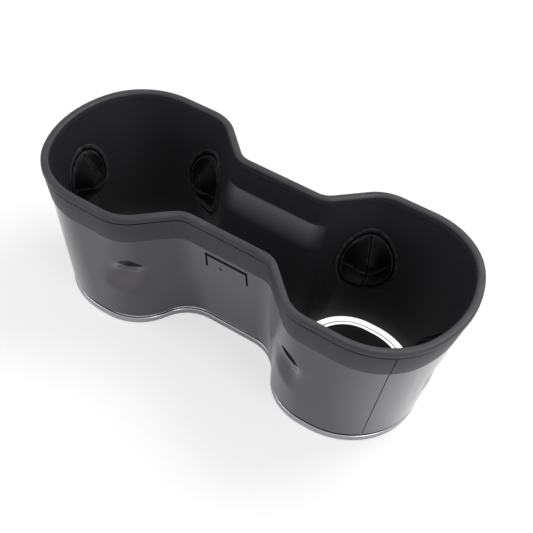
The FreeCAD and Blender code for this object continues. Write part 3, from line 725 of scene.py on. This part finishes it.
slit_top, slit_low = TONGUE_TOP - SLIT, TONGUE_TOP - TONGUE_LENGTH
leg_top = slit_top + WELD
left_leg = ((-TONGUE_HALF, -ACROSS, slit_low), (LEG_SLIT - TONGUE_HALF, ACROSS, leg_top))
right_leg = ((TONGUE_HALF - LEG_SLIT, -ACROSS, slit_low), (TONGUE_HALF, ACROSS, leg_top))
carve(outer_shell, boxes(((-TONGUE_HALF, -ACROSS, slit_top), (TONGUE_HALF, ACROSS, TONGUE_TOP))))
carve(outer_shell, boxes(left_leg, right_leg))
near_mark = ((-MARK_END, -MARK_FAR, MARK_LOW), (-MARK_START, -MARK_NEAR, MARK_TOP))
far_mark = ((MARK_START, MARK_NEAR, MARK_LOW), (MARK_END, MARK_FAR, MARK_TOP))
for mark in (near_mark, far_mark):
    carve(outer_shell, boxes(mark))
print("Tongue slits lie between", round(slit_low, 1), "and", round(TONGUE_TOP, 1), "mm high")

# %% [markdown]
# A fine vertical seam runs down each shoulder, through the band and the shell.
# It could be drawn as a dark line, but a real groove also catches the light on its edge.
# It is shallow, so the tool is a thin blade with the inside of the tub taken out of it.

# %% Seams
SEAM_TURN, SEAM_ANGLE = math.radians(51), math.radians(50)
SEAM_REACH, SEAM_WIDTH, SEAM_DEPTH = 14, 0.5, 0.45
CORE_FOOT, CORE_RIM, CORE_UNDER = 8, 16, 1


def seam_tools():
    """Four blades that stop a groove's depth below the outer faces."""
    blades = bmesh.new()
    m = measures(RIM, FACE_FOOT)
    for x_sign in (1, -1):
        for y_sign in (1, -1):
            radius = m["side"] - m["shoulder_y"]
            place = Vector((x_sign * (m["shoulder_x"] + radius * math.cos(SEAM_TURN)),
                            y_sign * (m["shoulder_y"] + radius * math.sin(SEAM_TURN)),
                            (LIP_LOW + TRAY_TOP) / 2))
            turn = Matrix.Rotation(x_sign * y_sign * SEAM_ANGLE, 4, "Z")
            size = Matrix.Diagonal((2 * SEAM_REACH, SEAM_WIDTH, LIP_LOW - TRAY_TOP - WELD, 1))
            bmesh.ops.create_cube(blades, size=1, matrix=Matrix.Translation(place) @ turn @ size)
    blade = loose_object("blade", blades)
    core_low = TRAY_TOP - CORE_UNDER
    carve(blade, tub_wall([(FOOT, CORE_FOOT, core_low), (FOOT, SEAM_DEPTH, core_low),
                           (FOOT, SEAM_DEPTH, TRAY_TOP), (RIM, BAND_LEAN + SEAM_DEPTH, BREAK),
                           (RIM, FACE_FOOT + SEAM_DEPTH, BREAK), (RIM, LIP_STEP + SEAM_DEPTH, LIP_LOW),
                           (RIM, LIP_STEP + SEAM_DEPTH, TOP), (RIM, CORE_RIM, TOP), (RIM, CORE_RIM, BREAK)]))
    bm = bmesh.new()
    bm.from_mesh(blade.data)
    bpy.data.objects.remove(blade)
    return bm


carve(outer_shell, seam_tools())
carve(rim_band, seam_tools())
settle(rim_band, "satin_black_trim", "rim_band")
settle(outer_shell, "gloss_black_shell", "outer_shell")

# %% [markdown]
# The liner is the dark wall inside both wells, from the tray up to the underside of the lip.
# An oval window in it holds each gripper, cut square to the wall with the same kind of tool as the vents.
# Rays cast on the plain wall, before the windows are cut, tell the grippers how it curves.

# %% Inner liner
WINDOW_RADIUS, WINDOW_STEPS, WINDOW_REACH = 14.2, 96, 7
GRIP_OVAL, GRIP_RAISE = 1.28, 2.0
LOWER_ROWS, UPPER_ROWS = 12, 3
liner_bm = tub_wall([(FOOT, LINER_IN, TRAY_TOP), (RIM, BAND_LEAN + LINER_IN, BREAK),
                     (RIM, LIP_STEP + LINER_IN, LIP_LOW), (RIM, LIP_STEP + LINER_OUT, LIP_LOW),
                     (RIM, BAND_LEAN + LINER_OUT, BREAK), (FOOT, LINER_OUT, TRAY_TOP)],
                    {0: LOWER_ROWS, 1: UPPER_ROWS})
wall_rays = BVHTree.FromBMesh(liner_bm)
inner_liner = loose_object("inner_liner_skin", liner_bm)


def window_outline(bm):
    """An oval, a little above the middle of the gripper's seat."""
    bmesh.ops.create_circle(bm, cap_ends=True, radius=WINDOW_RADIUS, segments=WINDOW_STEPS)
    bmesh.ops.scale(bm, vec=(1, GRIP_OVAL, 1), verts=bm.verts)
    bmesh.ops.translate(bm, vec=(0, GRIP_RAISE, 0), verts=bm.verts)


carve(inner_liner, bars(window_outline, -WINDOW_REACH, WINDOW_REACH))
settle(inner_liner, "matte_black_liner", "inner_liner")

# %% [markdown]
# Each gripper is one soft moulding: a flange on the wall, a narrow moat, and a hollow dome.
# It is turned from one half section, which keeps its hollow and its wall true all round.
# The flange and the foot of the dome then follow the curve of the wall.
# The crown keeps its own form.
# It is slit crosswise, so that a cup can push the four flaps back.

# %% Grippers
DOME_RADIUS, DOME_RISE, DOME_WALL, CROWN_RADIUS, CROWN_RISE = 13.4, 10.5, 2.0, 5.0, 2.1
FLANGE_RADIUS, FLANGE_TOP, FLANGE_BACK, SOFT, SOFT_MIDDLE = 15.0, 0.6, -0.05, 0.3, 0.1
NECK_INNER, NECK_OUTER, NECK_BACK = 12.5, 14.1, -0.9
MOAT_OUTER, MOAT = 13.3, [(13.2, -0.6), (12.75, -0.6), (12.6, 0.3), (12.4, 0.85)]
INSIDE_RINGS, OUTSIDE_RINGS = (7, 9, 11, 12.2), (11.6, 10.4, 9, 7.6, 6.2)
TURN_STEPS, PULL_POWER, RAY_START = 96, 4, 30
CUT_WIDTH, CUT_HALF, CUT_LOW, CUT_TOP = 0.8, 12.0, 1.2, 20
GRIPPER_CREASE = 45


def crown(drop, steps=8):
    """The round top of the dome, from its edge to its middle."""
    ball = (CROWN_RADIUS ** 2 + CROWN_RISE ** 2) / (2 * CROWN_RISE)
    spread = math.asin(CROWN_RADIUS / ball)
    turns = [spread * (1 - step / steps) for step in range(steps + 1)]
    return [(ball * math.sin(turn), DOME_RISE - drop - ball * (1 - math.cos(turn))) for turn in turns]


def flank(rings, drop):
    """Radius and height of the conical flank at each ring."""
    slope = (DOME_RISE - CROWN_RISE) / (DOME_RADIUS - CROWN_RADIUS)
    return [(radius, (DOME_RADIUS - radius) * slope - drop) for radius in rings]


def gripper_profile():
    """The half section from the middle of the hollow, out under the flange, and over to the crown."""
    neck = [(NECK_INNER, NECK_BACK), (NECK_OUTER, NECK_BACK), (NECK_OUTER, FLANGE_BACK)]
    flange = [(FLANGE_RADIUS, FLANGE_BACK), (FLANGE_RADIUS, FLANGE_TOP - SOFT),
              (FLANGE_RADIUS - SOFT_MIDDLE, FLANGE_TOP - SOFT_MIDDLE), (FLANGE_RADIUS - SOFT, FLANGE_TOP),
              (MOAT_OUTER + SOFT, FLANGE_TOP), (MOAT_OUTER + SOFT_MIDDLE, FLANGE_TOP - SOFT_MIDDLE),
              (MOAT_OUTER, FLANGE_TOP - SOFT)]
    inside = crown(DOME_WALL)[::-1] + flank(INSIDE_RINGS, DOME_WALL)
    return inside + neck + flange + MOAT + flank(OUTSIDE_RINGS, 0) + crown(0)


def gripper_piece(name, seat):
    """A dome turned from the half section, laid on the curved wall, slit and seated."""
    bm = bmesh.new()
    verts = [bm.verts.new((radius, 0, height)) for radius, height in gripper_profile()]
    for first, second in zip(verts, verts[1:]):
        bm.edges.new((first, second))
    bmesh.ops.spin(bm, geom=bm.verts[:] + bm.edges[:], cent=(0, 0, 0), axis=(0, 0, 1),
                   angle=2 * math.pi, steps=TURN_STEPS, use_merge=True)
    bmesh.ops.remove_doubles(bm, verts=bm.verts, dist=WELD)
    bmesh.ops.recalc_face_normals(bm, faces=bm.faces)
    outward = -seat.col[2].xyz
    for vert in bm.verts:
        pull = min(1, vert.co.xy.length / NECK_INNER) ** PULL_POWER
        vert.co.y = vert.co.y * GRIP_OVAL + GRIP_RAISE
        over = seat @ Vector((vert.co.x, vert.co.y, RAY_START))
        hit = wall_rays.ray_cast(over, outward)[0]
        lift = (seat.inverted() @ hit).z
        vert.co.z += lift * pull
    piece = loose_object(name, bm)
    for across, along in ((CUT_WIDTH / 2, CUT_HALF * GRIP_OVAL), (CUT_HALF, CUT_WIDTH / 2)):
        low, high = (-across, GRIP_RAISE - along, CUT_LOW), (across, GRIP_RAISE + along, CUT_TOP)
        carve(piece, boxes((low, high)))
    piece.data.transform(seat)
    return piece


for name, seat in SEATS.items():
    gripper = gripper_piece("gripper_skin_" + name, seat)
    settle(gripper, "gripper_rubber", "gripper_" + name, crease=GRIPPER_CREASE)

# %% [markdown]
# The tray is a slab with rounded edges that shows as a silver line round the foot.
# Inside each well it leaves a bright border, whose glow is painted light, round a sunken rubber mat.
# A fine groove runs round the border, and the shell and liner stand on its raised seat.
# Every slab is the foot's own outline at some inset, raised, bevelled and cut where the waist begins.

# %% Base tray and floor mats
RIM_TOP, RIM_STEP, SEAT_LOW, TRAY_ROUND, UNDER_ROUND = 4.0, 0.9, 1, 0.7, 1.4
RECESS_INSET, RECESS_DEEP = 4, 1
MAT_INSET, MAT_NECK, MAT_FLOOR, MAT_GAP, MAT_THICK, MAT_ROUND = 8.15, 34.0, 2.6, 0.3, 1.2, 0.35
NECK_ROUND, NECK_STEPS = 6, 8
LINE_INSET, LINE_WIDTH, LINE_DEEP = 6.1, 0.7, 0.8
OVER_TRAY = TRAY_TOP + 1


def plate(inset, low, high):
    """The whole outline as a flat slab."""
    bm = bmesh.new()
    quarter_line(bm, FOOT, inset, low)
    for axis in ("Y", "X"):
        bmesh.ops.mirror(bm, geom=bm.verts[:] + bm.edges[:], axis=axis, merge_dist=WELD)
    bmesh.ops.remove_doubles(bm, verts=bm.verts, dist=WELD)
    face = bmesh.ops.contextual_create(bm, geom=bm.edges[:])["faces"]
    raised = bmesh.ops.extrude_face_region(bm, geom=face, use_keep_orig=True)["geom"]
    bmesh.ops.translate(bm, vec=(0, 0, high - low), verts=[p for p in raised if hasattr(p, "co")])
    bmesh.ops.recalc_face_normals(bm, faces=bm.faces)
    return bm


def level_edges(bm, level):
    """The edges that lie at one height."""
    return [edge for edge in bm.edges if all(abs(vert.co.z - level) < WELD for vert in edge.verts)]


def softened(bm, edges, radius, segments):
    """Round some edges over."""
    bmesh.ops.bevel(bm, geom=edges, offset=radius, affect="EDGES", segments=segments, profile=0.5,
                    material=-1)
    return bm


def well_plate(inset, neck, low, high, side):
    """The part of a slab that lies in one well, with its neck corners rounded."""
    bm = plate(inset, low, high)
    cut = bmesh.ops.bisect_plane(bm, geom=bm.verts[:] + bm.edges[:] + bm.faces[:],
                                 plane_co=(side * neck, 0, 0), plane_no=(side, 0, 0), clear_inner=True)
    rim = [part for part in cut["geom_cut"] if isinstance(part, bmesh.types.BMEdge)]
    bmesh.ops.contextual_create(bm, geom=rim)
    corners = [edge for edge in rim if abs(edge.verts[0].co.z - edge.verts[1].co.z) > WELD]
    return softened(bm, corners, NECK_ROUND, NECK_STEPS)


tray_bm = plate(0, 0, RIM_TOP)
softened(tray_bm, level_edges(tray_bm, RIM_TOP), TRAY_ROUND, 4)
softened(tray_bm, level_edges(tray_bm, 0), UNDER_ROUND, 5)
base_tray = loose_object("base_tray_skin", tray_bm)
carve(base_tray, plate(RIM_STEP, SEAT_LOW, TRAY_TOP), "UNION")
carve(base_tray, plate(RECESS_INSET, -RECESS_DEEP, RECESS_DEEP))
line_low, line_inner = TRAY_TOP - LINE_DEEP, LINE_INSET + LINE_WIDTH
carve(base_tray, tub_wall([(FOOT, LINE_INSET, line_low), (FOOT, LINE_INSET, OVER_TRAY),
                           (FOOT, line_inner, OVER_TRAY), (FOOT, line_inner, line_low)]))
for side, word in ((1, "right"), (-1, "left")):
    carve(base_tray, well_plate(MAT_INSET, MAT_NECK, MAT_FLOOR, OVER_TRAY, side))
    mat_bm = well_plate(MAT_INSET + MAT_GAP, MAT_NECK + MAT_GAP, MAT_FLOOR, MAT_FLOOR + MAT_THICK, side)
    softened(mat_bm, level_edges(mat_bm, MAT_FLOOR + MAT_THICK), MAT_ROUND, 3)
    settle(loose_object("floor_mat_skin_" + word, mat_bm), "mat_rubber", "floor_mat_" + word)
settle(base_tray, "bright_base", "base_tray")

# %% [markdown]
# The studio is a pale sheet under large soft lamps, as in a catalogue picture.
# More light would make the sheet white, but it would also bleach the black pieces.
# So the camera sees a sheet that glows a little, by Light Path, and reflections see less of that.
# The sheet still takes the soft shadow that shows round the foot in the picture.

# %% Pale sheet
SHEET_RADIUS, SHEET_STEPS, SHEET_DROP = 2.5, 96, 0.05 * MM
SHEET_COLOUR = (0.93, 0.93, 0.93, 1)
SHEET_MIRRORED, SHEET_SEEN = 0.1, 0.6


def seen_directly(nodes, links):
    """One for camera, glossy and transmission rays, and nought for the light on the object."""
    path = nodes.new("ShaderNodeLightPath").outputs
    either = math_node(nodes, links, "MAXIMUM", path["Is Camera Ray"], path["Is Glossy Ray"])
    return math_node(nodes, links, "MAXIMUM", either, path["Is Transmission Ray"])


floor_mesh = bmesh.new()
bmesh.ops.create_circle(floor_mesh, cap_ends=True, radius=SHEET_RADIUS, segments=SHEET_STEPS)
floor_data = bpy.data.meshes.new("floor")
floor_mesh.to_mesh(floor_data)
floor_mesh.free()
floor = bpy.data.objects.new("floor", floor_data)
bpy.context.collection.objects.link(floor)
floor.location.z = -SHEET_DROP

paper = bpy.data.materials.new("paper")
paper.use_nodes = True
nodes, links = paper.node_tree.nodes, paper.node_tree.links
nodes.remove(nodes["Principled BSDF"])
matte = nodes.new("ShaderNodeBsdfDiffuse")
matte.inputs["Color"].default_value = SHEET_COLOUR
glow = nodes.new("ShaderNodeEmission")
glow.inputs["Color"].default_value = WHITE
glow.inputs["Strength"].default_value = 1
camera_ray = nodes.new("ShaderNodeLightPath").outputs["Is Camera Ray"]
share = ranged(nodes, links, camera_ray, 0, 1, SHEET_MIRRORED, SHEET_SEEN)
share = math_node(nodes, links, "MULTIPLY", seen_directly(nodes, links), share)
mixed = nodes.new("ShaderNodeMixShader")
links.new(share, mixed.inputs["Fac"])
links.new(matte.outputs["BSDF"], mixed.inputs[1])
links.new(glow.outputs["Emission"], mixed.inputs[2])
links.new(mixed.outputs["Shader"], nodes["Material Output"].inputs["Surface"])
floor_data.materials.append(paper)
print("Sheet is", 2 * SHEET_RADIUS, "m across")

# %% [markdown]
# The room round the sheet is a plain white world.
# What is seen of it is full white, and what lights the object is kept at a plain level.

# %% White room
ROOM_LIGHT, ROOM_SEEN = 0.55, 1
world = bpy.data.worlds.new("studio_world")
world.use_nodes = True
bpy.context.scene.world = world
nodes, links = world.node_tree.nodes, world.node_tree.links
ground = nodes["Background"]
ground.inputs["Color"].default_value = WHITE
level = ranged(nodes, links, seen_directly(nodes, links), 0, 1, ROOM_LIGHT, ROOM_SEEN)
links.new(level, ground.inputs["Strength"])
print("The room lights the object at", ROOM_LIGHT)

# %% [markdown]
# Three large square lamps give the soft side light of a product picture.
# Small lamps would leave hard spots on the polished shell.
# The key lamp stands high behind, and two weaker ones fill the left and the right.

# %% Lamps
LAMP_AIM = Vector((0, 0, 0.04))


def soft_lamp(name, place, size, power):
    """A large square lamp that faces the middle of the object."""
    lamp = bpy.data.objects.new(name, bpy.data.lights.new(name, "AREA"))
    bpy.context.collection.objects.link(lamp)
    lamp.data.shape = "SQUARE"
    lamp.data.size = size
    lamp.data.energy = power
    lamp.location = place
    lamp.rotation_euler = (LAMP_AIM - Vector(place)).to_track_quat("-Z", "Y").to_euler()
    return lamp


lamps = [
    soft_lamp("key_lamp", (0.35, 0.55, 0.95), 0.6, 9),
    soft_lamp("fill_lamp", (-0.8, -0.6, 0.7), 0.7, 4),
    soft_lamp("right_lamp", (0.9, -0.35, 0.5), 0.5, 4),
]
scene = bpy.context.scene
scene.view_settings.view_transform = "Standard"
print("Lamps:", [lamp.name for lamp in lamps])
